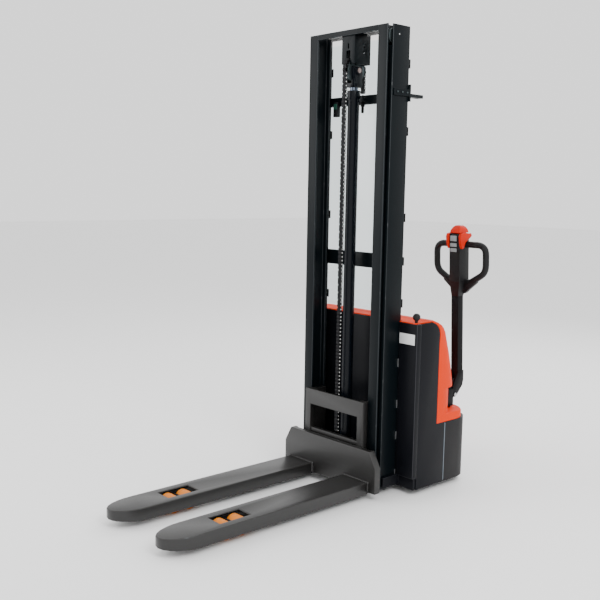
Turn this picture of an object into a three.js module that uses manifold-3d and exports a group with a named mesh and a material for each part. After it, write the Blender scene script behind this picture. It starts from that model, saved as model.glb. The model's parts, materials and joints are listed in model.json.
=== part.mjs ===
// Walkie stacker: a pedestrian electric stacker with a two-stage mast, straddled load wheels,
// a side-mounted tiller over the drive wheel and a castor on the other side.
// Units are millimetres. In the machine frame +X is the side the tiller stands on, -Y is where
// the forks point, +Z is up, z = 0 is the floor, and y = 0 is the front of the fork carriage.
import * as THREE from "three";
import { mergeVertices } from "three/addons/utils/BufferGeometryUtils.js";
import Module from "manifold-3d";

const wasm = await Module();
wasm.setup();

// ---------------------------------------------------------------- driving dimensions
const GAP = 0.3; // clearance between pieces that are bolted or welded face to face
const LEFT = -1;
const RIGHT = 1;

const FORK_LENGTH = 1150;
const FORK_SPREAD = 570;
const FORK_WIDTH = 170;
const FORK_TOP = 88;
const FORK_BOTTOM = 28;
const FORK_X = (FORK_SPREAD - FORK_WIDTH) / 2;
const NOSE_START = -990;
const WINDOW_Y = -780; // middle of the wheel window and of the bogie
const WINDOW = { width: 88, length: 166 };

const LOAD_WHEEL = { radius: 40, width: 70, spacing: 84 };
const LEG = { width: 130, bottom: 36, top: 74, wall: 16 };

const PLATE = { half: 331.5, bottom: 38, top: 242, chamfer: 43, chamferDrop: 77, depth: 38 };

const MAST_TOP = 2278;
const INNER = { front: 69, rear: 165, half: 266, throat: 206, web: 232, bottom: 82 };
const OUTER = { front: 93, rear: 211, half: 281, throat: 246, web: 273, bottom: 30 };
const FLANGE = 10;

const WHEEL_Y = 125; // lift cylinder, piston rod and chain wheel share this line
const CHAIN_WHEEL_Z = 2088;
const CHAIN_PITCH_RADIUS = 65;
const CHAIN = { width: 19.4, depth: 18 };
const CHAIN_BOTTOM = 262;
const CHAIN_REAR_END = 1978;
const LIFTING_BAR_Z = 1954;

const BODY_HALF = 400;
const BODY_FRONT = 197;
const BODY_TOP = 866;
const SHELL = 4;
const DRIVE_COVER_TOP = 343;
const CORNER = 115; // plan radius of the rear corners
const BODY_REAR = 665;

const STEER = { x: 285, y: BODY_REAR - CORNER, stemTop: 388 };
const DRIVE_WHEEL = { radius: 100, width: 70 };
const CASTOR = { radius: 62, width: 46, trail: 34 };

const PIVOT = { y: 622, z: 443 };
const LEAN = THREE.MathUtils.degToRad(3.2); // the parked tiller leans this far towards the mast
const ARM_Y = 53; // arm's middle behind the pivot, in the leaning frame
const HEAD = { y: 67, half: 33, deep: 39, bottom: 520, top: 846 };
const LOOP = { x: 158, y: 83, radius: 17, top: 789 };
const THROTTLE = { y: 60, z: 820, shaft: 6 };

// Middle of the machine's box in plan, where the part's own origin stands on the floor.
const ORIGIN = { x: 30, y: -227.7 };

// ---------------------------------------------------------------- materials
function finish(color, roughness, metalness = 0, extra = {}) {
  return new THREE.MeshStandardMaterial({ color, roughness, metalness, ...extra });
}

const PAINT = {
  mast: finish(0x2a2e31, 0.45, 0.2),
  forks: finish(0x46464a, 0.55, 0.2),
  panel: finish(0x24262b, 0.5, 0.1),
  orange: finish(0xff5018, 0.45),
  cover: finish(0x333338, 0.6),
  black: finish(0x1c1c1f, 0.6),
  grip: finish(0x26262a, 0.65),
  red: finish(0xe63c22, 0.45),
  grey: finish(0xa9adaf, 0.5),
  steel: finish(0xb4b6b8, 0.35, 0.9),
  chrome: finish(0xd8dadd, 0.15, 1),
  tread: finish(0xe68a28, 0.5),
  rubber: finish(0x2b2b2b, 0.8),
  clear: finish(0xdfe9ea, 0.1, 0, { transparent: true, opacity: 0.3 }),
  battery: finish(0x3a3d42, 0.6),
};

// ---------------------------------------------------------------- solids
function solidOf(geometry) {
  geometry.deleteAttribute("normal");
  geometry.deleteAttribute("uv");
  const merged = mergeVertices(geometry, 1e-3);
  return new wasm.Manifold(
    new wasm.Mesh({
      numProp: 3,
      vertProperties: merged.attributes.position.array,
      triVerts: new Uint32Array(merged.index.array),
    }),
  );
}

function box([x0, x1], [y0, y1], [z0, z1]) {
  const geometry = new THREE.BoxGeometry(x1 - x0, y1 - y0, z1 - z0);
  geometry.translate((x0 + x1) / 2, (y0 + y1) / 2, (z0 + z1) / 2);
  return solidOf(geometry);
}

// Span from a to b on one side of the machine's middle plane.
function spanOn(side, a, b) {
  return side > 0 ? [a, b] : [-b, -a];
}

const AXES = {
  x: [new THREE.Vector3(0, 1, 0), new THREE.Vector3(0, 0, 1), new THREE.Vector3(1, 0, 0)],
  y: [new THREE.Vector3(1, 0, 0), new THREE.Vector3(0, 0, 1), new THREE.Vector3(0, -1, 0)],
  z: [new THREE.Vector3(1, 0, 0), new THREE.Vector3(0, 1, 0), new THREE.Vector3(0, 0, 1)],
};

// Extrudes an outline along an axis: (y, z) points along x, (x, z) along y, (x, y) along z.
function prism(axis, outline, from, to, steps = 8) {
  const shape = Array.isArray(outline)
    ? new THREE.Shape(outline.map(([a, b]) => new THREE.Vector2(a, b)))
    : outline;
  const geometry = new THREE.ExtrudeGeometry(shape, {
    depth: to - from,
    bevelEnabled: false,
    curveSegments: steps,
  });
  geometry.applyMatrix4(new THREE.Matrix4().makeBasis(...AXES[axis]));
  const place = { x: [from, 0, 0], y: [0, to, 0], z: [0, 0, from] }[axis];
  geometry.translate(...place);
  return solidOf(geometry);
}

// Cylinder along an axis. The centre gives the two other coordinates in x, y, z order.
function rod(axis, [a, b], radius, from, to, sides = 20) {
  const geometry = new THREE.CylinderGeometry(radius, radius, to - from, sides);
  const middle = (from + to) / 2;
  if (axis === "x") {
    geometry.rotateZ(Math.PI / 2);
    geometry.translate(middle, a, b);
  } else if (axis === "y") {
    geometry.translate(a, middle, b);
  } else {
    geometry.rotateX(Math.PI / 2);
    geometry.translate(a, b, middle);
  }
  return solidOf(geometry);
}

function ring(axis, centre, outer, inner, from, to, sides = 32) {
  return rod(axis, centre, outer, from, to, sides).subtract(
    rod(axis, centre, inner, from - 1, to + 1, sides),
  );
}

function join(first, ...others) {
  return others.reduce((whole, piece) => whole.add(piece), first);
}

function cut(first, ...tools) {
  return tools.reduce((whole, tool) => whole.subtract(tool), first);
}

// Round bar swept along a curve.
function sweep(curve, radius, steps, sides = 10) {
  const shape = new THREE.Shape();
  shape.absarc(0, 0, radius, 0, 2 * Math.PI);
  return solidOf(
    new THREE.ExtrudeGeometry(shape, {
      extrudePath: curve,
      steps,
      curveSegments: sides / 2,
      bevelEnabled: false,
    }),
  );
}

// Closed skin through rings that all hold the same number of points, capped at both ends.
function loft(rings) {
  const count = rings[0].length;
  const positions = rings.flat(2);
  const index = [];
  for (let level = 0; level < rings.length - 1; level++) {
    for (let i = 0; i < count; i++) {
      const j = (i + 1) % count;
      const low = level * count;
      const high = low + count;
      index.push(low + i, low + j, high + j, low + i, high + j, high + i);
    }
  }
  const top = (rings.length - 1) * count;
  for (let i = 1; i < count - 1; i++) {
    index.push(0, i + 1, i);
    index.push(top, top + i, top + i + 1);
  }
  const geometry = new THREE.BufferGeometry();
  geometry.setAttribute("position", new THREE.Float32BufferAttribute(positions, 3));
  geometry.setIndex(index);
  return solidOf(geometry);
}

// Plan ring of a body shell: square at the front, rounded at the two rear corners.
function planRing(z, front, rear, half, radius, steps = 6) {
  const points = [[-half, front, z]];
  points.push([half, front, z]);
  for (const [side, start] of [[1, 0], [-1, Math.PI / 2]]) {
    for (let i = 0; i <= steps; i++) {
      const angle = start + (i / steps) * (Math.PI / 2);
      points.push([
        side * (half - radius) + radius * Math.cos(angle),
        rear - radius + radius * Math.sin(angle),
        z,
      ]);
    }
  }
  return points;
}

const machine = new THREE.Group();

function add(name, solid, material, parent = machine) {
  const { vertProperties, triVerts } = solid.getMesh();
  const geometry = new THREE.BufferGeometry();
  geometry.setAttribute("position", new THREE.BufferAttribute(vertProperties, 3));
  geometry.setIndex(new THREE.BufferAttribute(triVerts, 1));
  geometry.computeVertexNormals();
  const mesh = new THREE.Mesh(geometry, material);
  mesh.name = name;
  parent.add(mesh);
}

function nameOn(side, stem) {
  return stem + (side > 0 ? "_right" : "_left");
}

// ---------------------------------------------------------------- forks and carriage
function fork(side) {
  const middle = side * FORK_X;
  const half = FORK_WIDTH / 2;
  const outline = new THREE.Shape();
  outline.moveTo(middle + half, -GAP);
  outline.lineTo(middle - half, -GAP);
  outline.lineTo(middle - half, NOSE_START);
  outline.bezierCurveTo(
    middle - half, NOSE_START - 70,
    middle - 58, -FORK_LENGTH,
    middle, -FORK_LENGTH,
  );
  outline.bezierCurveTo(
    middle + 58, -FORK_LENGTH,
    middle + half, NOSE_START - 70,
    middle + half, NOSE_START,
  );
  const wall = 8;
  const blank = prism("z", outline, FORK_BOTTOM, FORK_TOP, 6);
  const hollow = box(
    [middle - half + wall, middle + half - wall],
    [NOSE_START + 20, 1],
    [FORK_BOTTOM - 1, FORK_TOP - wall],
  );
  const opening = box(
    [middle - WINDOW.width / 2, middle + WINDOW.width / 2],
    [WINDOW_Y - WINDOW.length / 2, WINDOW_Y + WINDOW.length / 2],
    [FORK_TOP - wall - 1, FORK_TOP + 1],
  );
  const rise = 14; // the nose's underside rises towards the tip
  const underside = prism(
    "x",
    [
      [NOSE_START - 30, FORK_BOTTOM - 1],
      [-FORK_LENGTH - 1, FORK_BOTTOM - 1],
      [-FORK_LENGTH - 1, FORK_BOTTOM + rise],
    ],
    middle - half - 1,
    middle + half + 1,
  );
  return cut(blank, hollow, opening, underside);
}

function carriagePlate() {
  const { half, bottom, top, chamfer, chamferDrop, depth } = PLATE;
  const outline = [
    [-half, bottom],
    [half, bottom],
    [half, top - chamferDrop],
    [half - chamfer, top],
    [-half + chamfer, top],
    [-half, top - chamferDrop],
  ];
  const face = 10;
  const rim = 8;
  const blank = prism("y", outline, 0, depth);
  const back = prism(
    "y",
    [
      [-half + rim, bottom + rim],
      [half - rim, bottom + rim],
      [half - rim, top - chamferDrop - 3],
      [half - chamfer - 5, top - rim],
      [-half + chamfer + 5, top - rim],
      [-half + rim, top - chamferDrop - 3],
    ],
    face,
    depth + 1,
  );
  const legRoom = FORK_WIDTH / 2 - 8;
  const slots = [LEFT, RIGHT].map((side) =>
    box(
      [side * FORK_X - legRoom, side * FORK_X + legRoom],
      [-1, depth + 1],
      [bottom - 1, FORK_TOP - 8],
    ),
  );
  const shelf = box([-half + 60, half - 60], [30, depth + 1], [top - rim - 1, top + 1]);
  return cut(blank, back, ...slots, shelf);
}

const UPRIGHT = { inner: 170, outer: 209, front: 30, rear: 64, top: 468 };

function carriageFrame() {
  const { inner, outer, front, rear, top } = UPRIGHT;
  const feet = PLATE.top - 8 + GAP;
  const posts = [LEFT, RIGHT].map((side) =>
    box(spanOn(side, inner, outer), [front + GAP, rear], [feet, top]),
  );
  const toes = [LEFT, RIGHT].map((side) =>
    box(spanOn(side, inner, outer), [PLATE.depth + GAP, rear], [100, feet + 1]),
  );
  const crossbar = box([-inner - 1, inner + 1], [front + GAP, front + 14], [388, top]);
  const tie = box([-inner - 1, inner + 1], [PLATE.depth + GAP, rear], [238, CHAIN_BOTTOM - GAP]);
  return join(...posts, ...toes, crossbar, tie);
}

const ROLLER = { radius: 37, width: 23, y: 117, stub: 12 };
const CARRIAGE_ROLLERS = { low: 150, high: 420 };

function rollerArm(side) {
  const plate = box(spanOn(side, 178, 202), [UPRIGHT.rear + GAP, 150], [100, 462]);
  const stubs = Object.values(CARRIAGE_ROLLERS).map((z) =>
    rod("x", [ROLLER.y, z], ROLLER.stub, ...spanOn(side, 201, 230), 16),
  );
  return join(plate, ...stubs);
}

function roller(side, from, y, z, radius, width) {
  return ring("x", [y, z], radius, ROLLER.stub + GAP, ...spanOn(side, from, from + width), 24);
}

// ---------------------------------------------------------------- mast
function innerMast(side) {
  const { front, rear, half, throat, web, bottom } = INNER;
  const beam = join(
    box(spanOn(side, throat, half), [front, front + FLANGE], [bottom, MAST_TOP]),
    box(spanOn(side, throat, half), [rear - FLANGE, rear], [bottom, MAST_TOP]),
    box(spanOn(side, web, web + 8), [front + 1, rear - 1], [bottom, MAST_TOP]),
  );
  const notch = box(
    spanOn(side, web + 8, half + 1),
    [rear - FLANGE - 1, rear + 1],
    [bottom - 1, MAST_ROLLERS.lowerZ + 56],
  );
  const stub = rod(
    "x",
    [MAST_ROLLERS.lowerY, MAST_ROLLERS.lowerZ],
    ROLLER.stub,
    ...spanOn(side, web, 271),
    16,
  );
  return join(cut(beam, notch), stub);
}

function outerMast(side) {
  const { front, rear, half, throat, web, bottom } = OUTER;
  const channel = join(
    box(spanOn(side, throat, half), [front, front + 8], [bottom, MAST_TOP]),
    box(spanOn(side, throat, half), [rear - 8, rear], [bottom, MAST_TOP]),
    box(spanOn(side, web, half), [front + 1, rear - 1], [bottom, MAST_TOP]),
  );
  const notch = box(
    spanOn(side, throat - 1, web),
    [front - 1, front + 9],
    [MAST_ROLLERS.upperZ - 45, MAST_TOP + 1],
  );
  const stub = rod(
    "x",
    [ROLLER.y, MAST_ROLLERS.upperZ],
    ROLLER.stub,
    ...spanOn(side, 242, web + 1),
    16,
  );
  return join(cut(channel, notch), stub);
}

const MAST_ROLLERS = { upperZ: 2225, lowerY: 152, lowerZ: 150, lowerRadius: 50 };

function innerTopBeam() {
  const { throat, front } = INNER;
  const reach = throat - GAP;
  return join(
    box([-reach, reach], [front, front + FLANGE], [2252, MAST_TOP]),
    box([-reach, reach], [front, 165], [2266, MAST_TOP]),
  );
}

function innerBottomBeam() {
  const reach = INNER.throat - GAP;
  return box([-reach, reach], [72, 88], [INNER.bottom, INNER.bottom + 16]);
}

function chainGuard() {
  const half = 44;
  const [front, rear] = [79 + GAP, 190];
  const [bottom, top] = [2118, 2266 - GAP];
  const wall = 6;
  const walls = cut(
    box([-half, half], [front, rear], [bottom, top]),
    box([-half + wall, half - wall], [front + wall, rear - wall], [bottom - 1, top - wall]),
  );
  const chainSlot = CHAIN.width / 2 + 4;
  const slots = [
    box([-chainSlot, chainSlot], [front - 1, front + wall + 1], [bottom - 1, 2182]),
    box([-chainSlot, chainSlot], [rear - wall - 1, rear + 1], [bottom - 1, 2182]),
  ];
  const bolts = [2176, 2202].map((z) => rod("x", [146, z], 6.5, -half - 1, half + 1, 12));
  const slit = box([-5, 5], [front - 1, front + wall + 1], [2190, 2216]);
  return cut(walls, ...slots, ...bolts, slit);
}

const ROD_BOTTOM = 130; // low enough to stay in the barrel at full lift

function pistonRod() {
  const cheeks = [LEFT, RIGHT].map((side) =>
    box(spanOn(side, 14, 26), [92, 158], [2026, 2109]),
  );
  return join(
    rod("z", [0, WHEEL_Y], 20, ROD_BOTTOM, 2016, 24),
    box([-26, 26], [92, 158], [2008, 2027]),
    ...cheeks,
    rod("x", [WHEEL_Y, CHAIN_WHEEL_Z], 18.9, -34, 34, 20),
  );
}

function chainWheel() {
  const centre = [WHEEL_Y, CHAIN_WHEEL_Z];
  return cut(
    join(
      rod("x", centre, 54, -10, 10, 28),
      rod("x", centre, 58, 10, 13, 28),
      rod("x", centre, 58, -13, -10, 28),
    ),
    rod("x", centre, 19.2, -14, 14, 20),
  );
}

function chainArc() {
  const centre = [WHEEL_Y, CHAIN_WHEEL_Z];
  const band = ring(
    "x",
    centre,
    CHAIN_PITCH_RADIUS + CHAIN.depth / 2,
    CHAIN_PITCH_RADIUS - CHAIN.depth / 2,
    -CHAIN.width / 2 + 1,
    CHAIN.width / 2 - 1,
    36,
  );
  return cut(band, box([-20, 20], [40, 210], [1960, centre[1] - 1]));
}

// Front run of the chain with its bend over the wheel.
function chainFront() {
  const run = chainRun(WHEEL_Y - CHAIN_PITCH_RADIUS, CHAIN_BOTTOM, CHAIN_WHEEL_Z);
  return join(run, chainArc());
}

function chainRun(y, bottom, top) {
  return box(
    [-CHAIN.width / 2, CHAIN.width / 2],
    [y - CHAIN.depth / 2, y + CHAIN.depth / 2],
    [bottom, top],
  );
}

function chainRear() {
  return chainRun(WHEEL_Y + CHAIN_PITCH_RADIUS, CHAIN_REAR_END, CHAIN_WHEEL_Z - 1 - GAP);
}

function cylinderBarrel() {
  return cut(
    join(
      rod("z", [0, WHEEL_Y], 29, 60 + GAP, 1985, 32),
      rod("z", [0, WHEEL_Y], 33, 1950, 1992, 32),
      rod("z", [0, WHEEL_Y], 36, 60 + GAP, 90, 32),
    ),
    rod("z", [0, WHEEL_Y], 20 + GAP, ROD_BOTTOM - 10, 1993, 24),
  );
}

const REAR_TIE = { front: 190, rear: 211 };

// Tie between the outer channels. Its ends are thin where the lower mast rollers pass.
function rearTie(bottom, top) {
  const reach = OUTER.throat - GAP;
  return join(
    box([-236, 236], [REAR_TIE.front, REAR_TIE.rear], [bottom, top]),
    box([-reach, reach], [OUTER.rear - 8, REAR_TIE.rear], [bottom, top]),
  );
}

function topCrossmember() {
  const beam = rearTie(1931, 1976);
  const anchor = join(
    box([-22, 22], [178, 202], [1946, 1961]),
    rod("z", [0, WHEEL_Y + CHAIN_PITCH_RADIUS], 7, 1889, 1977, 12),
  );
  return join(beam, anchor);
}

function middleCrossmember() {
  return rearTie(1118, 1193);
}

function liftingBar() {
  const low = LIFTING_BAR_Z;
  return cut(
    join(
      box([225, 289], [OUTER.rear + GAP, OUTER.rear + 9], [low - 24, low + 56]),
      box([235, 271], [OUTER.rear + 8, 331], [low, low + 16]),
      box([OUTER.half + GAP, 289], [104, OUTER.rear + 9], [low, low + 31]),
    ),
    rod("z", [253, 300], 9, low - 8, low + 22, 16),
  );
}

function mastShield() {
  const sheet = box([-262, 262], [OUTER.rear + 3, OUTER.rear + 6], [900, 2240]);
  const notch = box([218, 270], [OUTER.rear, OUTER.rear + 9], [LIFTING_BAR_Z - 34, LIFTING_BAR_Z + 66]);
  return cut(sheet, notch);
}

// ---------------------------------------------------------------- straddle legs and load wheels
function leg(side) {
  const middle = side * FORK_X;
  const half = LEG.width / 2;
  const front = WINDOW_Y - LOAD_WHEEL.spacing / 2 - 26;
  const beam = cut(
    box([middle - half, middle + half], [front, OUTER.front - GAP], [LEG.bottom, LEG.top]),
    box(
      [middle - half + LEG.wall, middle + half - LEG.wall],
      [front - 1, OUTER.front - 12],
      [LEG.bottom - 1, LEG.top - 8],
    ),
  );
  const wheelRoom = box(
    [middle - half + LEG.wall, middle + half - LEG.wall],
    [front - 1, WINDOW_Y + 105],
    [LEG.bottom - 1, LEG.top + 1],
  );
  const pivotHole = rod("x", [WINDOW_Y, BOGIE.pivotZ], 6 + GAP, middle - 70, middle + 70, 16);
  return cut(beam, wheelRoom, pivotHole);
}

const BOGIE = { pivotZ: 64, inner: 37, outer: 46 };

function bogie(side) {
  const middle = side * FORK_X;
  const reach = LOAD_WHEEL.spacing / 2;
  const outline = [
    [WINDOW_Y - reach - 16, 28],
    [WINDOW_Y + reach + 16, 28],
    [WINDOW_Y + reach + 16, 50],
    [WINDOW_Y + 14, 73],
    [WINDOW_Y - 14, 73],
    [WINDOW_Y - reach - 16, 50],
  ];
  const plates = [LEFT, RIGHT].map((hand) => {
    const [from, to] = spanOn(hand, BOGIE.inner, BOGIE.outer);
    return prism("x", outline, middle + from, middle + to);
  });
  const axles = [-reach, reach].map((offset) =>
    rod("x", [WINDOW_Y + offset, 40], 10, middle - BOGIE.outer + 1, middle + BOGIE.outer - 1, 16),
  );
  const pivot = rod("x", [WINDOW_Y, BOGIE.pivotZ], 6, middle - 64, middle + 64, 16);
  return join(...plates, ...axles, pivot);
}

function loadWheel(side, offset) {
  const middle = side * FORK_X;
  const half = LOAD_WHEEL.width / 2;
  return ring(
    "x",
    [WINDOW_Y + offset, LOAD_WHEEL.radius],
    LOAD_WHEEL.radius,
    10 + GAP,
    middle - half,
    middle + half,
    32,
  );
}

// ---------------------------------------------------------------- chassis and what it holds
const FLOOR = { bottom: 30, top: 42 };
const DRIVE_DECK = { bottom: 232, top: 244 };

function chassisBase() {
  const reach = BODY_HALF - SHELL - 1;
  const throat = OUTER.throat - GAP;
  const deckRear = STEER.y + 8;
  const deck = [DRIVE_DECK.bottom, DRIVE_DECK.top];
  return cut(
    join(
      box([-throat, throat], [96, 213], [30, 60]),
      box([-reach, reach], [OUTER.rear + GAP, 252], [30, 90]),
      ...[LEFT, RIGHT].map((side) =>
        box(spanOn(side, OUTER.half + GAP, OUTER.half + 16), [98, 252], [44, 90]),
      ),
      box([-reach, reach], [251, 440], [FLOOR.bottom, FLOOR.top]),
      box([-reach, reach], [430, 440], [FLOOR.bottom, DRIVE_DECK.top]),
      box([-reach + 4, reach - 4], [439, deckRear], deck),
      rod("z", [STEER.x, STEER.y], 84, ...deck, 28),
      rod("z", [-STEER.x, STEER.y], 50, ...deck, 28),
      box([-10, 10], [439, deckRear], [60, DRIVE_DECK.top]),
    ),
    rod("z", [STEER.x, STEER.y], 61 + 2 * GAP, 200, 260, 32),
    rod("z", [-STEER.x, STEER.y], 21 + GAP, 200, 260, 24),
  );
}

function frontPanel() {
  const reach = BODY_HALF;
  const wall = [OUTER.rear + 12, OUTER.rear + 17];
  const wings = [LEFT, RIGHT].map((side) =>
    box(spanOn(side, OUTER.half + 4, reach), [BODY_FRONT, wall[1]], [91, BODY_TOP]),
  );
  return join(box([-reach + 1, reach - 1], wall, [91, BODY_TOP]), ...wings);
}

const PANEL_FRONT = OUTER.rear + 17 + GAP;
const PANEL_REAR = { upper: 372, lower: 436 };
const PANEL_ROUND = 70;

function sidePanel(side) {
  const outline = new THREE.Shape();
  outline.moveTo(PANEL_FRONT, FLOOR.bottom);
  outline.lineTo(PANEL_REAR.lower, FLOOR.bottom);
  outline.lineTo(PANEL_REAR.lower, DRIVE_COVER_TOP);
  outline.lineTo(PANEL_REAR.upper, DRIVE_COVER_TOP + 2);
  outline.lineTo(PANEL_REAR.upper, BODY_TOP - PANEL_ROUND);
  outline.absarc(
    PANEL_REAR.upper - PANEL_ROUND, BODY_TOP - PANEL_ROUND, PANEL_ROUND, 0, Math.PI / 2,
  );
  outline.lineTo(PANEL_FRONT, BODY_TOP);
  return prism("x", outline, ...spanOn(side, BODY_HALF - SHELL, BODY_HALF), 8);
}

// Front edge of the rear cover at a height: it follows the side panel's rounded corner.
function coverFront(z) {
  const rise = Math.max(0, z - (BODY_TOP - PANEL_ROUND));
  const run = Math.sqrt(Math.max(0, PANEL_ROUND ** 2 - rise ** 2));
  return PANEL_REAR.upper - PANEL_ROUND + run + (rise > 0 ? 5 : GAP);
}

const LID_TOP = 872;

// Rear cover from the drive cover up: height, rear face and how far the sides lean in.
const COVER_LEVELS = [
  [DRIVE_COVER_TOP + 2, 645, 0],
  [374, 645, 0],
  [384, 636, 0],
  [386, 531, 0],
  [516, 531, 0],
  [519, 562, 0],
  [570, 553, 0],
  [625, 541, 0],
  [690, 525, 0],
  [758, 503, 0],
  [800, 476, 0],
  [826, 446, 0],
  [844, 418, 0],
  [858, 386, 2],
  [LID_TOP, 350, 8],
];

// Its inside, open below and towards the mast.
const COVER_HOLLOW = [
  [300, 638],
  [368, 638],
  [380, 524],
  [524, 524],
  [530, 554],
  [570, 547],
  [625, 535],
  [690, 519],
  [758, 496],
  [800, 468],
  [826, 436],
  [848, 396],
];

function rearCover() {
  const wall = 6;
  const lidFront = OUTER.rear + 12 + GAP;
  const skin = COVER_LEVELS.map(([z, rear, lean]) => {
    const front = coverFront(z);
    return planRing(z, front, rear, BODY_HALF - lean, Math.min(CORNER, rear - front - 6));
  });
  const hollow = COVER_HOLLOW.map(([z, rear]) =>
    planRing(z, 280, rear, BODY_HALF - wall, CORNER - wall),
  );
  const reach = BODY_HALF - 9;
  const lid = join(
    box([-reach, reach], [lidFront, 310], [BODY_TOP + GAP, LID_TOP - 1]),
    ...[LEFT, RIGHT].map((side) =>
      box(
        spanOn(side, OUTER.half + 4, reach),
        [BODY_FRONT + GAP, 240],
        [BODY_TOP + GAP, LID_TOP - 1],
      ),
    ),
  );
  return cut(
    join(loft(skin), lid),
    loft(hollow),
    rod("z", [STEER.x, STEER.y], 46, 300, 500, 32),
    rod("y", [STOP.x, STOP.z], 9 + GAP, 500, 580, 16),
  );
}

function driveCover() {
  const front = PANEL_REAR.lower + 4 + GAP;
  const rings = (inset, low, high) => [
    planRing(low, front - (inset ? 5 : 0), BODY_REAR - inset, BODY_HALF - inset, CORNER - inset),
    planRing(high, front - (inset ? 5 : 0), BODY_REAR - inset, BODY_HALF - inset, CORNER - inset),
  ];
  return cut(
    loft(rings(0, 30, DRIVE_COVER_TOP)),
    loft(rings(SHELL, 20, DRIVE_COVER_TOP - SHELL)),
    rod("z", [STEER.x, STEER.y], 46, 300, DRIVE_COVER_TOP + 10, 32),
  );
}

function battery() {
  return box([-330, 330], [236, 388], [420, 700]);
}

function pumpUnit() {
  return join(
    rod("x", [310, 180], 58, -330, -150, 28),
    box([-151, -110], [262, 358], [132, 228]),
    box([-111, 90], [256, 374], [60, 250]),
  );
}

// ---------------------------------------------------------------- steering, drive and castor
function driveUnit() {
  const { x, y } = STEER;
  return join(
    rod("z", [x, y], 61, 208, 262, 32),
    box([x + 40, x + 62], [y - 42, y + 42], [62, 215]),
    rod("x", [y, DRIVE_WHEEL.radius], 42, x + 40, x + 62, 24),
    rod("x", [y, DRIVE_WHEEL.radius], 20, x - 33, x + 41, 20),
    rod("z", [x, y], 30, 261, STEER.stemTop, 24),
  );
}

function driveWheel() {
  const { x, y } = STEER;
  const half = DRIVE_WHEEL.width / 2;
  const centre = [y, DRIVE_WHEEL.radius];
  return ring("x", centre, DRIVE_WHEEL.radius, 20 + GAP, x - half, x + half, 40);
}

function castorFork() {
  const x = -STEER.x;
  const y = STEER.y;
  const axleY = y - CASTOR.trail;
  const cheek = [
    [axleY - 20, CASTOR.radius - 14],
    [axleY + 20, CASTOR.radius - 14],
    [y + 34, 135],
    [y + 34, 150],
    [y - 44, 150],
  ];
  const cheeks = [
    prism("x", cheek, x - 34, x - 27),
    prism("x", cheek, x + 27, x + 34),
  ];
  return join(
    ...cheeks,
    box([x - 34, x + 34], [y - 44, y + 34], [142, 150]),
    rod("z", [x, y], 40, 149, 168, 24),
    rod("z", [x, y], 21, 167, 262, 20),
    rod("x", [axleY, CASTOR.radius], 8, x - 38, x + 38, 12),
  );
}

function castorWheel() {
  const x = -STEER.x;
  const half = CASTOR.width / 2;
  const centre = [STEER.y - CASTOR.trail, CASTOR.radius];
  return ring("x", centre, CASTOR.radius, 8 + GAP, x - half, x + half, 32);
}

function tillerBase() {
  const { x, y } = STEER;
  const block = join(
    rod("z", [x, y], 34, STEER.stemTop + GAP, 476, 24),
    box([x - 34, x + 34], [y, 604], [STEER.stemTop + GAP, 476]),
  );
  const tongue = prism(
    "x",
    [
      [603, 424],
      [PIVOT.y + 10, 424],
      [PIVOT.y + 18, 436],
      [PIVOT.y + 18, 452],
      [PIVOT.y + 8, 462],
      [603, 466],
    ],
    x - 14,
    x + 14,
  );
  return cut(join(block, tongue), rod("x", [PIVOT.y, PIVOT.z], 9 + GAP, x - 20, x + 20, 16));
}

// ---------------------------------------------------------------- tiller, in its leaning frame
// The frame stands on the tiller's pivot: x across, y to the rear, z up along the arm.
const tiller = new THREE.Group();
tiller.position.set(STEER.x, PIVOT.y, PIVOT.z);
tiller.rotation.x = LEAN;
machine.add(tiller);

function tillerArm() {
  const cheek = [
    [-13, -8],
    [-6, -14],
    [12, -14],
    [66, 38],
    [75, 66],
    [76, 118],
    [32, 118],
    [-13, 44],
  ];
  return join(
    prism("x", cheek, -27, -15),
    prism("x", cheek, 15, 27),
    rod("x", [0, 0], 9, -30, 30, 16),
    box([-22, 22], [ARM_Y - 21, ARM_Y + 21], [74, HEAD.bottom - GAP]),
  );
}

function handleLoop(side) {
  const { x, y, top } = LOOP;
  const path = new THREE.CurvePath();
  const point = (a, b) => new THREE.Vector3(side * a, y, b);
  const corner = (a, b, c) => new THREE.QuadraticBezierCurve3(a, b, c);
  const run = (a, b) => new THREE.LineCurve3(a, b);
  const marks = [
    [20, top],
    [108, top],
    [x, top],
    [x, top - 50],
    [x, 690],
    [x, 650],
    [130, 632],
    [40, 578],
  ].map(([a, b]) => point(a, b));
  path.add(run(marks[0], marks[1]));
  path.add(corner(marks[1], marks[2], marks[3]));
  path.add(run(marks[3], marks[4]));
  path.add(corner(marks[4], marks[5], marks[6]));
  path.add(run(marks[6], marks[7]));
  return sweep(path, LOOP.radius, 30);
}

function tillerHead() {
  const { y, half, deep, bottom, top } = HEAD;
  const column = box([-half, half], [y - deep, y + deep], [596, top]);
  const neck = loft([
    [[-22, 32, bottom], [22, 32, bottom], [22, 75, bottom], [-22, 75, bottom]],
    [[-26, 30, 552], [26, 30, 552], [26, 92, 552], [-26, 92, 552]],
    [[-half, y - deep, 600], [half, y - deep, 600], [half, y + deep, 600], [-half, y + deep, 600]],
  ]);
  const shoulders = prism(
    "y",
    [[-24, 540], [24, 540], [64, 586], [54, 606], [-54, 606], [-64, 586]],
    68,
    98,
  );
  const plunger = BELLY.plunger + GAP;
  const pockets = BUTTONS.map(({ z, height }) =>
    box([BUTTON.x0 - GAP, BUTTON.x1 + GAP], [y - deep - 1, y - deep + 9],
      [z - height / 2 - GAP, z + height / 2 + GAP]),
  );
  return cut(
    join(column, neck, shoulders, handleLoop(LEFT), handleLoop(RIGHT)),
    ...pockets,
    box([-plunger, plunger], [y - plunger, y + plunger], [top - 14, top + 1]),
    rod("x", [THROTTLE.y, THROTTLE.z], THROTTLE.shaft + GAP, -40, 40, 16),
  );
}

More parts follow.
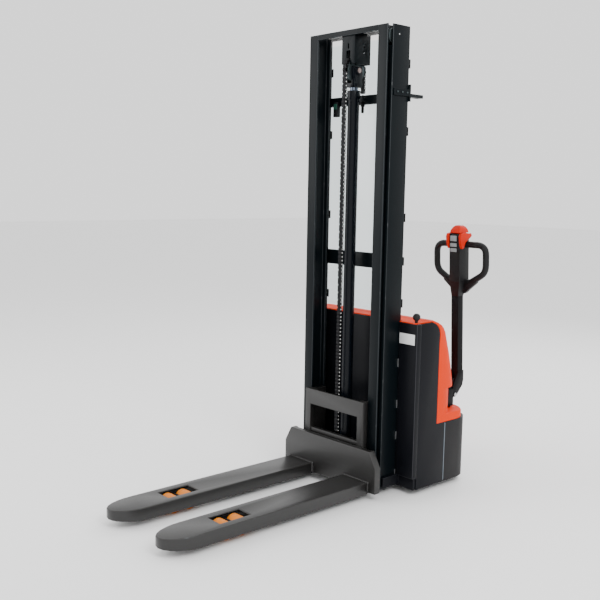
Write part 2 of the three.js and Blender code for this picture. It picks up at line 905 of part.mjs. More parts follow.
const BUTTON = { x0: -25, x1: 13 };
const BUTTONS = [
  { name: "horn_button", z: 823, height: 28 },
  { name: "lift_button", z: 789, height: 18 },
  { name: "lower_button", z: 762, height: 18 },
];

function button({ z, height }) {
  const face = HEAD.y - HEAD.deep;
  return box([BUTTON.x0, BUTTON.x1], [face - 4, face + 5], [z - height / 2, z + height / 2]);
}

function throttle() {
  const wing = [
    [17, 832],
    [24, 848],
    [60, 853],
    [84, 845],
    [104, 847],
    [111, 834],
    [98, 823],
    [76, 813],
    [58, 800],
    [44, 774],
    [32, 770],
    [23, 790],
  ];
  return join(
    prism("x", wing, -48, -HEAD.half - 1),
    prism("x", wing, HEAD.half + 1, 48),
    rod("x", [THROTTLE.y, THROTTLE.z], THROTTLE.shaft, -40, 40, 16),
  );
}

const BELLY = { gap: 4.5, plunger: 18 };

function bellyButton() {
  const base = HEAD.top + BELLY.gap;
  const level = (z, half, front, rear) => [
    [-half, front, z],
    [half, front, z],
    [half, rear, z],
    [-half, rear, z],
  ];
  const { y, deep, half } = HEAD;
  const cap = loft([
    level(base, half - 1, y - deep + 1, y + deep - 1),
    level(base + 14, half - 3, y - deep + 4, y + deep - 4),
    level(base + 30, half - 10, y - deep + 16, y + deep - 14),
    level(base + 38, half - 18, y - deep + 28, y + deep - 26),
  ]);
  const reach = BELLY.plunger;
  return join(cap, box([-reach, reach], [y - reach, y + reach], [HEAD.top - 8, base + 1]));
}

// ---------------------------------------------------------------- controls on the body
const KNOB = { x: 378, y: 214 };

function coverKnob() {
  return join(
    rod("z", [KNOB.x, KNOB.y], 9, LID_TOP - 1 + GAP, 886, 16),
    rod("z", [KNOB.x, KNOB.y], 19, 885, 918, 20),
  );
}

const STOP = { x: -120, z: 600 };

function stopButton() {
  const face = 549;
  return join(
    rod("y", [STOP.x, STOP.z], 20, face + 8, face + 24, 24),
    rod("y", [STOP.x, STOP.z], 9, face - 14, face + 9, 16),
  );
}

// ---------------------------------------------------------------- assembly
for (const side of [LEFT, RIGHT]) {
  add(nameOn(side, "fork"), fork(side), PAINT.forks);
  add(nameOn(side, "roller_arm"), rollerArm(side), PAINT.forks);
  add(nameOn(side, "inner_mast"), innerMast(side), PAINT.mast);
  add(nameOn(side, "outer_mast"), outerMast(side), PAINT.mast);
  add(nameOn(side, "leg"), leg(side), PAINT.forks);
  add(nameOn(side, "bogie"), bogie(side), PAINT.steel);
  add(nameOn(side, "side_panel"), sidePanel(side), PAINT.panel);
  for (const [level, z] of Object.entries(CARRIAGE_ROLLERS)) {
    const wheel = roller(side, 206, ROLLER.y, z, ROLLER.radius, ROLLER.width);
    add(nameOn(side, "carriage_roller_" + level), wheel, PAINT.steel);
  }
  const { upperZ, lowerY, lowerZ, lowerRadius } = MAST_ROLLERS;
  const upper = roller(side, 243, ROLLER.y, upperZ, ROLLER.radius, ROLLER.width);
  add(nameOn(side, "upper_mast_roller"), upper, PAINT.steel);
  const lower = roller(side, 242, lowerY, lowerZ, lowerRadius, 27);
  add(nameOn(side, "lower_mast_roller"), lower, PAINT.steel);
  const reach = LOAD_WHEEL.spacing / 2;
  add(nameOn(side, "front_load_wheel"), loadWheel(side, -reach), PAINT.tread);
  add(nameOn(side, "rear_load_wheel"), loadWheel(side, reach), PAINT.tread);
}
add("carriage_plate", carriagePlate(), PAINT.forks);
add("carriage_frame", carriageFrame(), PAINT.forks);
add("inner_top_beam", innerTopBeam(), PAINT.mast);
add("inner_bottom_beam", innerBottomBeam(), PAINT.mast);
add("chain_guard", chainGuard(), PAINT.mast);
add("piston_rod", pistonRod(), PAINT.chrome);
add("chain_wheel", chainWheel(), PAINT.steel);
add("chain_front", chainFront(), PAINT.steel);
add("chain_rear", chainRear(), PAINT.steel);
add("lift_cylinder", cylinderBarrel(), PAINT.mast);
add("top_crossmember", topCrossmember(), PAINT.mast);
add("middle_crossmember", middleCrossmember(), PAINT.mast);
add("lifting_bar", liftingBar(), PAINT.mast);
add("mast_shield", mastShield(), PAINT.clear);
add("chassis_base", chassisBase(), PAINT.panel);
add("front_panel", frontPanel(), PAINT.panel);
add("rear_cover", rearCover(), PAINT.orange);
add("drive_cover", driveCover(), PAINT.cover);
add("battery", battery(), PAINT.battery);
add("pump_unit", pumpUnit(), PAINT.black);
add("cover_knob", coverKnob(), PAINT.black);
add("stop_button", stopButton(), PAINT.red);
add("drive_unit", driveUnit(), PAINT.black);
add("drive_wheel", driveWheel(), PAINT.rubber);
add("castor_fork", castorFork(), PAINT.steel);
add("castor_wheel", castorWheel(), PAINT.rubber);
add("tiller_base", tillerBase(), PAINT.black);
add("tiller_arm", tillerArm(), PAINT.grip, tiller);
add("tiller_head", tillerHead(), PAINT.grip, tiller);
add("throttle", throttle(), PAINT.red, tiller);
add("belly_button", bellyButton(), PAINT.red, tiller);
for (const spec of BUTTONS) add(spec.name, button(spec), PAINT.grey, tiller);

machine.position.set(-ORIGIN.x, -ORIGIN.y, 0);

const part = new THREE.Group();
part.add(machine);
export default part;
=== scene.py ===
import json
import math

import bmesh
import bpy
from mathutils import Matrix, Vector


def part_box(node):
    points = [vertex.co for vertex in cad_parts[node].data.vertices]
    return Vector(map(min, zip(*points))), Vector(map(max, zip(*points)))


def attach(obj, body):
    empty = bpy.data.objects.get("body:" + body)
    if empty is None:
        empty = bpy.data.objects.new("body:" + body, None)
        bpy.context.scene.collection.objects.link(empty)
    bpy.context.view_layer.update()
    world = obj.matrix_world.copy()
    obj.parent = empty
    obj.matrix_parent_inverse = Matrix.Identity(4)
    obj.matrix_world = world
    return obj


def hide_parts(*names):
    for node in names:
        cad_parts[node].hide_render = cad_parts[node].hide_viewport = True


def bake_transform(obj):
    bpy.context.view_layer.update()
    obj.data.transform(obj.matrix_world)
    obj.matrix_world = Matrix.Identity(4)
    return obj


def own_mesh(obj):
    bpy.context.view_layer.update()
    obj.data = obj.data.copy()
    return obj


# A walkie stacker around its CAD frame. Metres, +Z up, forks towards -Y, tiller on the +X side.
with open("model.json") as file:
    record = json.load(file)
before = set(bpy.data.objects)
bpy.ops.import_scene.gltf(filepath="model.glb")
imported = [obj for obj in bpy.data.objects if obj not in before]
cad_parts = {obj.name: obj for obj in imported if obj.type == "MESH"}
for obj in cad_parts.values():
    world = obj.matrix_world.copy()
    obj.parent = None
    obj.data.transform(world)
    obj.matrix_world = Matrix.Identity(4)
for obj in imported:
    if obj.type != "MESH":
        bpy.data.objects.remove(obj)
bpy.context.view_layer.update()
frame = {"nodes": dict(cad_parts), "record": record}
record = frame["record"]
NODE_SLOT = {part["node"]: part["material_slot"] for part in record["subparts"]}
NODE_BODY = {node: body for body, nodes in record["behaviour"]["bodies"].items() for node in nodes}

MM = 0.001
SMOOTH_ANGLE = math.radians(32)

# ---------------------------------------------------------------- camera, floor and light
CAMERA_PLACE = Vector((3.0314, -2.7395, 1.5114))
CAMERA_AZIMUTH = math.radians(47.99)
CAMERA_PITCH = math.radians(7.43)
CAMERA_ROLL = math.radians(0.99)
SENSOR = 36.0
FOCAL_IN_WIDTHS = 858.17 / 600


def add_camera():
    back = Vector((
        math.sin(CAMERA_AZIMUTH) * math.cos(CAMERA_PITCH),
        -math.cos(CAMERA_AZIMUTH) * math.cos(CAMERA_PITCH),
        math.sin(CAMERA_PITCH),
    ))
    level = (-back).cross(Vector((0, 0, 1))).normalized()
    rise = level.cross(-back)
    right = level * math.cos(CAMERA_ROLL) + rise * math.sin(CAMERA_ROLL)
    up = rise * math.cos(CAMERA_ROLL) - level * math.sin(CAMERA_ROLL)
    data = bpy.data.cameras.new("camera")
    data.sensor_width = SENSOR
    data.lens = SENSOR * FOCAL_IN_WIDTHS
    data.clip_end = 60
    camera = bpy.data.objects.new("camera", data)
    turn = Matrix((right, up, back)).transposed().to_4x4()
    camera.matrix_world = Matrix.Translation(CAMERA_PLACE) @ turn
    bpy.context.collection.objects.link(camera)
    bpy.context.scene.camera = camera


FLOOR_REACH = 30
FLOOR_COLOUR = (0.9, 0.9, 0.9, 1)


def add_floor():
    mesh = bpy.data.meshes.new("floor")
    corners = [(x * FLOOR_REACH, y * FLOOR_REACH, 0) for x, y in ((-1, -1), (1, -1), (1, 1), (-1, 1))]
    mesh.from_pydata(corners, [], [(0, 1, 2, 3)])
    floor = bpy.data.objects.new("floor", mesh)
    bpy.context.collection.objects.link(floor)
    material = bpy.data.materials.new("floor")
    material.use_nodes = True
    shader = material.node_tree.nodes["Principled BSDF"]
    shader.inputs["Base Color"].default_value = FLOOR_COLOUR
    shader.inputs["Roughness"].default_value = 0.7
    mesh.materials.append(material)


LIGHT_TARGET = (0, 0, 1.1)
# Name, place, disk size in metres and power in watts.
LIGHTS = (
    ("key", (4.5, -1.0, 4.5), 3.0, 210),
    ("fill", (-3.5, -4.0, 3.0), 4.0, 150),
    ("back", (-1.0, 4.5, 4.0), 3.0, 120),
)
BACKDROP_STRENGTH = 1.5


def add_area_light(name, place, target, size, power):
    data = bpy.data.lights.new(name, "AREA")
    data.shape = "DISK"
    data.size = size
    data.energy = power
    light = bpy.data.objects.new(name, data)
    light.location = place
    light.rotation_euler = (Vector(target) - Vector(place)).to_track_quat("-Z", "Y").to_euler()
    bpy.context.collection.objects.link(light)


def add_lights():
    for name, place, size, power in LIGHTS:
        add_area_light(name, place, LIGHT_TARGET, size, power)
    world = bpy.data.worlds.new("studio")
    world.use_nodes = True
    backdrop = world.node_tree.nodes["Background"]
    backdrop.inputs["Color"].default_value = (1, 1, 1, 1)
    backdrop.inputs["Strength"].default_value = BACKDROP_STRENGTH
    bpy.context.scene.world = world


# ---------------------------------------------------------------- materials
def shade(rgb, factor):
    return tuple(min(1, c * factor) for c in rgb) + (1,)


class Finish:
    """A procedural material: mottled colour, uneven roughness, and fine relief."""

    def __init__(self, name, rgb, roughness, metallic=0.0, specular=0.3):
        self.material = bpy.data.materials.new(name)
        self.material.use_nodes = True
        self.nodes = self.material.node_tree.nodes
        self.links = self.material.node_tree.links
        self.shader = self.nodes["Principled BSDF"]
        self.shader.inputs["Metallic"].default_value = metallic
        self.shader.inputs["Specular IOR Level"].default_value = specular
        self.place = self.nodes.new("ShaderNodeTexCoord").outputs["Object"]
        self.rgb = rgb
        self.roughness = roughness

    def noise(self, scale, detail=4.0, stretch=(1, 1, 1)):
        mapping = self.nodes.new("ShaderNodeMapping")
        mapping.inputs["Scale"].default_value = stretch
        self.links.new(self.place, mapping.inputs["Vector"])
        node = self.nodes.new("ShaderNodeTexNoise")
        node.inputs["Scale"].default_value = scale
        node.inputs["Detail"].default_value = detail
        self.links.new(mapping.outputs["Vector"], node.inputs["Vector"])
        return node.outputs["Fac"]

    def mix(self, factor, low, high):
        node = self.nodes.new("ShaderNodeMix")
        node.data_type = "RGBA"
        self.links.new(factor, node.inputs["Factor"])
        for socket, value in ((node.inputs[6], low), (node.inputs[7], high)):
            if isinstance(value, tuple):
                socket.default_value = value
            else:
                self.links.new(value, socket)
        return node.outputs[2]

    def span(self, value, low, high, start=0.0, end=1.0):
        node = self.nodes.new("ShaderNodeMapRange")
        node.inputs["From Min"].default_value = start
        node.inputs["From Max"].default_value = end
        node.inputs["To Min"].default_value = low
        node.inputs["To Max"].default_value = high
        self.links.new(value, node.inputs["Value"])
        return node.outputs["Result"]

    def mottle(self, spread=0.12, scale=6.0, stretch=(1, 1, 1)):
        cloud = self.noise(scale, 5.0, stretch)
        colour = self.mix(cloud, shade(self.rgb, 1 - spread), shade(self.rgb, 1 + spread))
        self.links.new(colour, self.shader.inputs["Base Color"])
        rough = self.span(cloud, self.roughness * 0.82, self.roughness * 1.18)
        self.links.new(rough, self.shader.inputs["Roughness"])
        return self

    def relief(self, scale, height, detail=3.0, stretch=(1, 1, 1)):
        bump = self.nodes.new("ShaderNodeBump")
        bump.inputs["Distance"].default_value = height
        self.links.new(self.noise(scale, detail, stretch), bump.inputs["Height"])
        self.links.new(bump.outputs["Normal"], self.shader.inputs["Normal"])
        return self

    def worn(self, bare, amount=0.62):
        """Rubbed patches of a lighter colour, for the rounded edges of a painted piece."""
        under = self.shader.inputs["Base Color"].links[0].from_socket
        mask = self.span(self.noise(38, 8.0), 0.0, 1.0, amount - 0.06, amount + 0.06)
        self.links.new(self.mix(mask, under, bare + (1,)), self.shader.inputs["Base Color"])
        return self


def paint(name, rgb, roughness, specular=0.10):
    return Finish(name, rgb, roughness, 0.0, specular).mottle(0.1).relief(420, 0.00025)


def paint_edge(name, rgb, roughness, bare):
    finish = Finish(name, shade(rgb, 2.2)[:3], roughness, 0.0, 0.35)
    return finish.mottle(0.15, 20).worn(bare, 0.68).relief(420, 0.0002)


def moulded(name, rgb, roughness, specular=0.22):
    return Finish(name, rgb, roughness, 0.0, specular).mottle(0.08, 9).relief(900, 0.0003, 2.0)


def machined(name, rgb, roughness, stretch=(1, 1, 1)):
    return Finish(name, rgb, roughness, 0.95).mottle(0.14, 60, stretch).relief(300, 0.00008, 6, stretch)


def clear_sheet():
    finish = Finish("clear_sheet", (0.86, 0.92, 0.93), 0.08).mottle(0.03, 3)
    finish.shader.inputs["Transmission Weight"].default_value = 1.0
    finish.shader.inputs["IOR"].default_value = 1.25
    return finish


MAST = (0.0024, 0.0042, 0.0054)
FORK = (0.010, 0.0096, 0.0093)
PANEL = (0.0040, 0.0044, 0.0062)
ORANGE = (0.66, 0.031, 0.0001)
STEEL = (0.56, 0.57, 0.58)


def make_materials():
    grey = (0.05, 0.053, 0.057)
    return {
        "mast_paint": [paint("mast_paint", MAST, 0.34), paint_edge("mast_edge", MAST, 0.4, grey)],
        "fork_paint": [paint("fork_paint", FORK, 0.36, 0.48), paint_edge("fork_edge", FORK, 0.5, grey)],
        "panel_paint": [paint("panel_paint", PANEL, 0.4), paint_edge("panel_edge", PANEL, 0.4, grey)],
        "orange_shell": [moulded("orange_shell", ORANGE, 0.5, 0.06)],
        "drive_shell": [moulded("drive_shell", (0.0085, 0.0080, 0.0088), 0.55)],
        "black_metal": [paint("black_metal", (0.0035, 0.0034, 0.0040), 0.42)],
        "grip_plastic": [moulded("grip_plastic", (0.0045, 0.0044, 0.0050), 0.46)],
        "red_plastic": [moulded("red_plastic", (0.50, 0.012, 0.001), 0.38, 0.12)],
        "wheel_steel": [machined("wheel_steel", (0.060, 0.075, 0.078), 0.45)],
        "frosted_edge": [moulded("frosted_edge", (0.30, 0.30, 0.30), 0.6)],
        "switch_case": [moulded("switch_case", (0.012, 0.060, 0.040), 0.5)],
        "label_white": [moulded("label_white", (0.66, 0.66, 0.66), 0.45)],
        "seam_steel": [machined("seam_steel", (0.16, 0.19, 0.22), 0.4)],
        "cylinder_paint": [moulded("cylinder_paint", (0.0022, 0.0034, 0.0056), 0.24, 0.16)],
        "axle_steel": [machined("axle_steel", (0.36, 0.27, 0.25), 0.4)],
        "button_grey": [moulded("button_grey", (0.22, 0.235, 0.24), 0.5)],
        "bright_steel": [machined("bright_steel", STEEL, 0.3)],
        "pin_steel": [moulded("pin_steel", (0.50, 0.50, 0.49), 0.4, 0.4)],
        "chain_steel": [machined("chain_steel", (0.028, 0.028, 0.030), 0.42)],
        "chrome_rod": [machined("chrome_rod", (0.16, 0.19, 0.24), 0.16, (1, 1, 0.05))],
        "wheel_tread": [moulded("wheel_tread", (0.56, 0.16, 0.004), 0.42)],
        "rubber_tread": [moulded("rubber_tread", (0.022, 0.022, 0.022), 0.75)],
        "clear_sheet": [clear_sheet()],
        "battery_case": [moulded("battery_case", (0.035, 0.037, 0.042), 0.5)],
    }


materials = {slot: [f.material for f in finishes] for slot, finishes in make_materials().items()}

# CAD nodes whose finish differs from their slot.
NODE_FINISH = {
    "lift_cylinder": "cylinder_paint", "chain_wheel": "wheel_steel",
    **{node: "wheel_steel" for node in NODE_SLOT if "_roller_" in node},
}


# ---------------------------------------------------------------- pieces
def finish_piece(piece, body, finish):
    for material in materials[finish]:
        piece.data.materials.append(material)
    if body:
        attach(piece, body)
    return piece


def baked(piece):
    """Applies the piece's modifiers to its mesh."""
    graph = bpy.context.evaluated_depsgraph_get()
    mesh = bpy.data.meshes.new_from_object(piece.evaluated_get(graph))
    piece.modifiers.clear()
    piece.data = mesh
    mesh.shade_smooth()
    mesh.set_sharp_from_angle(angle=SMOOTH_ANGLE)
    return piece


# Rounding of the CAD nodes' edges, in millimetres.
EDGE_RADIUS = {
    "outer_mast_left": 3.0, "outer_mast_right": 3.0, "inner_mast_left": 3.0, "inner_mast_right": 3.0,
    "inner_top_beam": 2.0, "top_crossmember": 2.0, "middle_crossmember": 2.0, "carriage_plate": 3.0,
    "carriage_frame": 2.0, "fork_left": 4.0, "fork_right": 4.0, "front_panel": 2.5,
    "rear_cover": 1.5, "drive_cover": 2.5, "tiller_head": 2.0, "throttle": 2.5, "belly_button": 1.2,
    "mast_shield": 0.6, "tiller_arm": 1.5, "lifting_bar": 1.2,
}
EDGE_RADIUS_ELSEWHERE = 0.8
SAME_PLACE = 1e-5
FLAT_ANGLE = math.radians(0.6)
EDGE_ANGLE = math.radians(33)


def rounded(node):
    """Stands for a CAD node with its flat faces whole again and its edges rounded."""
    source = frame["nodes"][node]
    work = bmesh.new()
    work.from_mesh(source.data)
    bmesh.ops.remove_doubles(work, verts=work.verts, dist=SAME_PLACE)
    bmesh.ops.dissolve_limit(work, angle_limit=FLAT_ANGLE, verts=work.verts, edges=work.edges)
    mesh = bpy.data.meshes.new(node + "_form")
    work.to_mesh(mesh)
    work.free()
    piece = bpy.data.objects.new(node + "_form", mesh)
    bpy.context.collection.objects.link(piece)
    finishes = materials[NODE_FINISH.get(node, NODE_SLOT[node])]
    for material in finishes:
        mesh.materials.append(material)
    bevel = piece.modifiers.new("edges", "BEVEL")
    bevel.width = EDGE_RADIUS.get(node, EDGE_RADIUS_ELSEWHERE) * MM
    bevel.segments = 3
    bevel.limit_method = "ANGLE"
    bevel.angle_limit = EDGE_ANGLE
    bevel.use_clamp_overlap = True
    bevel.material = len(finishes) - 1
    baked(piece)
    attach(piece, NODE_BODY[node])
    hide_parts(node)
    return piece


YOKE_BOTTOM = 2.005


def paint_yoke(piece):
    """The yoke head is painted dark; the rod below it stays plated."""
    piece.data.materials.append(materials["cylinder_paint"][0])
    for polygon in piece.data.polygons:
        if polygon.center.z > YOKE_BOTTOM:
            polygon.material_index = 1


# ---------------------------------------------------------------- small forms
def new_piece(name, work, body, finish, bevel=0.0, segments=2):
    mesh = bpy.data.meshes.new(name)
    bmesh.ops.recalc_face_normals(work, faces=work.faces)
    work.to_mesh(mesh)
    work.free()
    piece = bpy.data.objects.new(name, mesh)
    bpy.context.collection.objects.link(piece)
    if bevel:
        modifier = piece.modifiers.new("edges", "BEVEL")
        modifier.width = bevel
        modifier.segments = segments
        modifier.limit_method = "ANGLE"
    baked(piece)
    return finish_piece(piece, body, finish)


def put_box(work, low, high):
    middle = (Vector(low) + Vector(high)) / 2
    size = Vector(high) - Vector(low)
    turn = Matrix.Translation(middle) @ Matrix.Diagonal((*size, 1))
    bmesh.ops.create_cube(work, size=1, matrix=turn)


def put_rod(work, start, end, radius, sides=24, end_radius=None):
    start, end = Vector(start), Vector(end)
    along = end - start
    turn = along.to_track_quat("Z", "Y").to_matrix().to_4x4()
    bmesh.ops.create_cone(
        work, cap_ends=True, segments=sides, radius1=radius,
        radius2=radius if end_radius is None else end_radius, depth=along.length,
        matrix=Matrix.Translation((start + end) / 2) @ turn,
    )


def put_nut(work, centre, axis, across, thick):
    half = Vector(axis) * thick / 2
    put_rod(work, Vector(centre) - half, Vector(centre) + half, across / math.sqrt(3), 6)


# ---------------------------------------------------------------- lift chain
CHAIN_PITCH = 19.05 * MM
CHAIN_PLATES = 5
PLATE_THICK = 2.4 * MM
PLATE_DEPTH = 17.5 * MM
CHAIN_WIDTH = 19.4 * MM
ROW_STEP = (CHAIN_WIDTH - PLATE_THICK) / (CHAIN_PLATES - 1)
PIN_RADIUS = 3.4 * MM
PIN_PROUD = 2.0 * MM
PLATE_WAIST = 0.74
PLATE_END_STEPS = 8
CHAIN_HALF_DEPTH = 9 * MM


def put_link_plate(work, x, y, z, depth):
    """A figure-eight side plate between two pins, flat on X."""
    radius = depth / 2
    outline = []
    for end, turn in ((1, 0), (-1, math.pi)):
        for step in range(PLATE_END_STEPS + 1):
            angle = turn + math.pi * step / PLATE_END_STEPS
            outline.append((radius * math.cos(angle), end * CHAIN_PITCH / 2 + radius * math.sin(angle)))
    outline.insert(PLATE_END_STEPS + 1, (-radius * PLATE_WAIST, 0))
    outline.append((radius * PLATE_WAIST, 0))
    faces = []
    for side in (x - PLATE_THICK / 2, x + PLATE_THICK / 2):
        faces.append([work.verts.new((side, y + a, z + b)) for a, b in outline])
    work.faces.new(faces[0])
    work.faces.new(reversed(faces[1]))
    count = len(outline)
    for i in range(count):
        after = (i + 1) % count
        work.faces.new((faces[0][i], faces[1][i], faces[1][after], faces[0][after]))


def put_link(work, pins, x, y, z, odd, proud):
    """The plates between two pins, every other row, and the lower pin."""
    for row in range(CHAIN_PLATES)[odd::2]:
        put_link_plate(work, x + (row - (CHAIN_PLATES - 1) / 2) * ROW_STEP, y, z, PLATE_DEPTH)
    half = CHAIN_WIDTH / 2 + proud
    pin = z - CHAIN_PITCH / 2
    put_rod(pins, (x - half, y, pin), (x + half, y, pin), PIN_RADIUS, 10)


def chain_run(name, x, y, bottom, top, body):
    """A straight run of leaf chain: its plates as one piece, its pins as another."""
    plates, pins = bmesh.new(), bmesh.new()
    start = top - CHAIN_PITCH / 2
    for link in range(int((top - bottom) / CHAIN_PITCH)):
        put_link(plates, pins, x, y, start - link * CHAIN_PITCH, link % 2, PIN_PROUD)
    return (new_piece(name, plates, body, "chain_steel"),
            new_piece(name + "_pins", pins, body, "pin_steel"))


def chain_bend(x, axle_y, axle_z, reach):
    """The links over the top of the chain wheel."""
    plates, pins = bmesh.new(), bmesh.new()
    steps = round(math.pi * reach / CHAIN_PITCH)
    for step in range(steps):
        angle = math.pi * (step + 0.5) / steps
        spot = Vector((x, axle_y - reach * math.cos(angle), axle_z + reach * math.sin(angle)))
        turn = Matrix.Translation(spot) @ Matrix.Rotation(-angle, 4, "X")
        link, pin = bmesh.new(), bmesh.new()
        put_link(link, pin, 0, 0, 0, step % 2, 0)
        for source, target in ((link, plates), (pin, pins)):
            part = bpy.data.meshes.new("link")
            source.transform(turn)
            source.to_mesh(part)
            source.free()
            target.from_mesh(part)
            bpy.data.meshes.remove(part)
    arc = new_piece("chain_links_over_wheel", plates, "inner_mast", "chain_steel")
    new_piece("chain_links_over_wheel_pins", pins, "inner_mast", "pin_steel")
    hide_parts("chain_front")


def lift_chain():
    front_low, front_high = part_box("chain_front")
    rear_low, rear_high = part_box("chain_rear")
    wheel_low, wheel_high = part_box("chain_wheel")
    x = (front_low.x + front_high.x) / 2
    axle_z = (wheel_low.z + wheel_high.z) / 2
    axle_y = (wheel_low.y + wheel_high.y) / 2
    reach = axle_y - front_low.y - CHAIN_HALF_DEPTH
    for piece in chain_run("chain_links_front", x, axle_y - reach, front_low.z, axle_z, "inner_mast"):
        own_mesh(piece)
    chain_bend(x, axle_y, axle_z, reach)
    rear = chain_run("chain_links_rear", x, axle_y + reach, rear_low.z, rear_high.z, None)
    for piece in rear:
        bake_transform(piece)
    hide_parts("chain_rear")


# ---------------------------------------------------------------- mast fittings
def chain_anchor():
    """Two nuts and the thread rings of the chain's anchor bolt at the upper rear crossmember."""
    low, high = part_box("chain_rear")
    tie_low, tie_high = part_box("top_crossmember")
    x = (low.x + high.x) / 2
    y = (low.y + high.y) / 2
    work = bmesh.new()
    bracket_under = tie_high.z - 31 * MM
    for drop in (9 * MM, 20 * MM):
        put_nut(work, (x, y, bracket_under - drop), (0, 0, 1), 19 * MM, 9 * MM)
    for turn in range(14):
        z = tie_low.z + 3 * MM + turn * 2 * MM
        put_rod(work, (x, y, z), (x, y, z + 1.2 * MM), 7.8 * MM, 16)
    new_piece("chain_anchor_nuts", work, "chassis", "black_metal", 0.8 * MM)


def axle_end():
    """The round end of the chain wheel's axle in the yoke."""
    head_low, head_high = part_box("piston_rod")
    wheel_low, wheel_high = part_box("chain_wheel")
    y = (wheel_low.y + wheel_high.y) / 2
    z = (wheel_low.z + wheel_high.z) / 2
    work = bmesh.new()
    for x, way in ((head_high.x, 1), (head_low.x, -1)):
        put_rod(work, (x, y, z), (x + way * 3 * MM, y, z), 12 * MM, 32)
    new_piece("axle_ends", work, "inner_mast", "axle_steel", 1.0 * MM)


def top_beam_lip():
    """The pale underside and rear lip of the top beam, on both sides of the chain guard."""
    low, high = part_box("inner_top_beam")
    guard_low, guard_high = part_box("chain_guard")
    under = high.z - 12.1 * MM
    gap = 1 * MM
    work = bmesh.new()
    for left, right in ((low.x, guard_low.x), (guard_high.x, high.x)):
        put_box(work, (left + gap, low.y + 16 * MM, under - gap), (right - gap, high.y - gap, under))
        put_box(work, (left + gap, high.y - 3 * MM, under - 12 * MM), (right - gap, high.y - gap, under))
    new_piece("top_beam_lip", work, "inner_mast", "frosted_edge", 0.3 * MM)


CLIP_HEIGHTS = (2.107, 1.79, 1.376, 1.163, 0.955)


def shield_clips():
    """Black clips that hold the clear shield against the mast's rear edges."""
    low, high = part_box("mast_shield")
    work = bmesh.new()
    for side, x in ((1, high.x), (-1, low.x)):
        for z in CLIP_HEIGHTS:
            inner = (x - side * 16 * MM, high.y, z - 21 * MM)
            outer = (x + side * 16 * MM, high.y + 7 * MM, z + 21 * MM)
            low_corner = [min(a, b) for a, b in zip(inner, outer)]
            high_corner = [max(a, b) for a, b in zip(inner, outer)]
            put_box(work, low_corner, high_corner)
            put_rod(work, (x, high.y + 6 * MM, z), (x, high.y + 9.5 * MM, z), 5 * MM, 16)
    new_piece("shield_clips", work, "chassis", "grip_plastic", 1.6 * MM)


LIMIT_SWITCH_X = -0.2045


def limit_switch():
    """A switch on the front of the upper rear crossmember, with its cover plate."""
    tie_low, tie_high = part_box("top_crossmember")
    x = LIMIT_SWITCH_X
    face = tie_high.y - 21.5 * MM
    case = bmesh.new()
    put_box(case, (x - 16 * MM, face - 20 * MM, tie_low.z - 12 * MM),
            (x + 16 * MM, face, tie_low.z + 62 * MM))
    new_piece("limit_switch", case, "chassis", "grip_plastic", 1.5 * MM)
    cover = bmesh.new()
    put_box(cover, (x - 11 * MM, face - 22 * MM, tie_low.z + 26 * MM),
            (x + 13 * MM, face - 19.8 * MM, tie_low.z + 54 * MM))
    new_piece("limit_switch_cover", cover, "chassis", "switch_case", 0.6 * MM)


# Heights of the painted highlight strips that stand for light seen through the gap between mast and
# body.
MAST_GAP_LIGHT_HEIGHTS = (0.661, 0.452, 0.290, 0.095)


def mast_gap_light_strips():
    """Bright strips in the narrow gap between the mast's right side and the body's front wing: painted
    highlight, standing for light seen through the gap.
    """
    mast_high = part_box("outer_mast_right")[1]
    wing_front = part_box("front_panel")[0].y
    work = bmesh.new()
    for z in MAST_GAP_LIGHT_HEIGHTS:
        # Bright steel boxes as painted highlight: they stand for light showing through the gap, not for
        # real parts.
        put_box(work, (mast_high.x + 0.2 * MM, wing_front - 2 * MM, z - 20 * MM),
                (mast_high.x + 3.8 * MM, wing_front + 12 * MM, z + 20 * MM))
    new_piece("mast_gap_light_strips", work, "chassis", "bright_steel", 0.5 * MM)


LIFTING_BAR_SCREWS_Y = (0.352, 0.386, 0.420)
HEAD_PLUG_Y = 0.362
HEAD_PLUG_Z = 2.234


def mast_bolts():
    """Hexagon screw heads on the lifting bar, and the bright plug near the mast head."""
    low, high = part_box("lifting_bar")
    mast_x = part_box("outer_mast_right")[1].x
    work = bmesh.new()
    middle = low.z + 40 * MM
    for y in LIFTING_BAR_SCREWS_Y:
        put_nut(work, (high.x + 2 * MM, y, middle), (1, 0, 0), 9 * MM, 4 * MM)
    new_piece("lifting_bar_screws", work, "chassis", "wheel_steel", 0.6 * MM)
    plug = bmesh.new()
    start = (mast_x, HEAD_PLUG_Y, HEAD_PLUG_Z)
    end = (mast_x + 1.2 * MM, HEAD_PLUG_Y, HEAD_PLUG_Z)
    put_rod(plug, start, end, 3.6 * MM, 20)
    new_piece("mast_head_plug", plug, "chassis", "bright_steel", 0.5 * MM)


# ---------------------------------------------------------------- carriage and body trim
SIDE_BEAD_STEP = 5.4 * MM
TOP_BEAD_STEP = 5.6 * MM


def weld_beads():
    """Beads down both sides and over the top of each fork where it meets the carriage plate."""
    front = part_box("carriage_plate")[0].y
    work = bmesh.new()
    for fork in ("fork_left", "fork_right"):
        low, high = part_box(fork)
        for x in (low.x, high.x):
            z = low.z + 14 * MM
            while z < high.z - 2 * MM:
                start = (x, front - 6 * MM, z)
                end = (x, front + 1 * MM, z + 3 * MM)
                put_rod(work, start, end, 5 * MM, 10, 6 * MM)
                z += SIDE_BEAD_STEP
        x = low.x + 4 * MM
        while x < high.x - 3 * MM:
            start = (x, front - 5 * MM, high.z)
            end = (x + 3 * MM, front + 1 * MM, high.z)
            put_rod(work, start, end, 4.5 * MM, 10, 5.5 * MM)
            x += TOP_BEAD_STEP
    new_piece("fork_welds", work, "carriage", "fork_paint")


BLANK_PLATE_X = (0.258, 0.356)
BLANK_PLATE_Z = (0.762, 0.814)


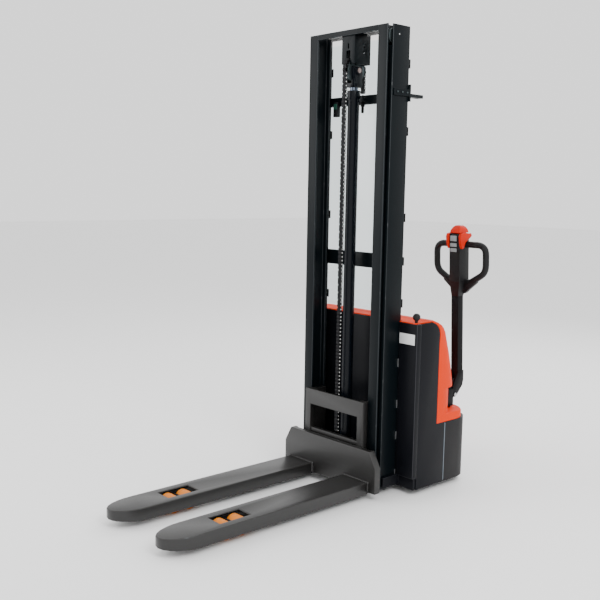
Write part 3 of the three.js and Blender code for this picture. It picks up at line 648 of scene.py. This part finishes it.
def body_trim():
    """The bright seam strip at the rear edge of each side panel, and the blank plate on the front."""
    cover_low, cover_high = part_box("drive_cover")
    right_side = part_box("side_panel_right")[1].x
    left_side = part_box("side_panel_left")[0].x
    strip = bmesh.new()
    for x in (right_side - 1 * MM, left_side - 0.4 * MM):
        put_box(strip, (x, cover_low.y - 5 * MM, cover_low.z + 8 * MM),
                (x + 1.4 * MM, cover_low.y + 0.5 * MM, cover_high.z - 3 * MM))
    new_piece("seam_strips", strip, "chassis", "seam_steel", 0.3 * MM)
    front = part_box("front_panel")[0].y
    plate = bmesh.new()
    put_box(plate, (BLANK_PLATE_X[0], front - 1.2 * MM, BLANK_PLATE_Z[0]),
            (BLANK_PLATE_X[1], front - 0.1 * MM, BLANK_PLATE_Z[1]))
    new_piece("blank_plate", plate, "chassis", "label_white", 0.5 * MM)


def knob_top():
    """A ball knob on its stalk with a bright screw in its top, in place of the plain knob."""
    low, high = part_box("cover_knob")
    x, y = (low.x + high.x) / 2, (low.y + high.y) / 2
    radius = (high.x - low.x) / 2
    centre = high.z - radius
    work = bmesh.new()
    bmesh.ops.create_uvsphere(work, u_segments=40, v_segments=24, radius=radius,
                              matrix=Matrix.Translation((x, y, centre)))
    put_rod(work, (x, y, low.z), (x, y, centre - 8 * MM), 8 * MM, 32)
    knob = new_piece("ball_knob", work, "cover_knob", "grip_plastic")
    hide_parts("cover_knob")
    screw = bmesh.new()
    put_rod(screw, (x, y, high.z - 4 * MM), (x, y, high.z - 0.2 * MM), 5 * MM, 6)
    new_piece("knob_screw", screw, "cover_knob", "bright_steel", 0.5 * MM)


def joint_place(name):
    return next(j for j in record["behaviour"]["joints"] if j["name"] == name)["pos_m"]


def pivot_bolts():
    """The bright tiller pivot bolt on both cheeks."""
    low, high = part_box("tiller_arm")
    y, z = joint_place("tiller_tilt")[1:]
    work = bmesh.new()
    for edge, way in ((high.x, 1), (low.x, -1)):
        put_nut(work, (edge + way * 2 * MM, y, z), (1, 0, 0), 17 * MM, 5 * MM)
    new_piece("tiller_pivot_bolts", work, "tiller", "bright_steel", 0.8 * MM)


TILLER_LEAN = math.radians(3.2)
# Millimetres out to the side and up the tiller from the tilt joint.
COLLAR_OUTLINE = ((20, 528), (36, 534), (60, 556), (104, 592), (112, 612), (40, 590), (20, 580))
COLLAR_FACES = (70, 96)


def handle_collar():
    """The webs under both handles, drawn in the tiller's own leaning frame."""
    place = Matrix.Translation(joint_place("tiller_tilt")) @ Matrix.Rotation(TILLER_LEAN, 4, "X")
    count = len(COLLAR_OUTLINE)
    work = bmesh.new()
    for side in (1, -1):
        rings = []
        for y in COLLAR_FACES:
            ring = [work.verts.new((side * a * MM, y * MM, b * MM)) for a, b in COLLAR_OUTLINE]
            work.faces.new(ring)
            rings.append(ring)
        for i in range(count):
            after = (i + 1) % count
            work.faces.new((rings[0][i], rings[0][after], rings[1][after], rings[1][i]))
    work.transform(place)
    new_piece("handle_collar", work, "tiller", "grip_plastic", 5 * MM, 3)


add_camera()
add_floor()
add_lights()
REMADE = {"cover_knob", "chain_front", "chain_rear"}
forms = {name: rounded(name) for name in NODE_SLOT if name not in REMADE}
paint_yoke(forms["piston_rod"])
lift_chain()
chain_anchor()
axle_end()
top_beam_lip()
shield_clips()
limit_switch()
mast_gap_light_strips()
mast_bolts()
weld_beads()
body_trim()
knob_top()
pivot_bolts()
handle_collar()
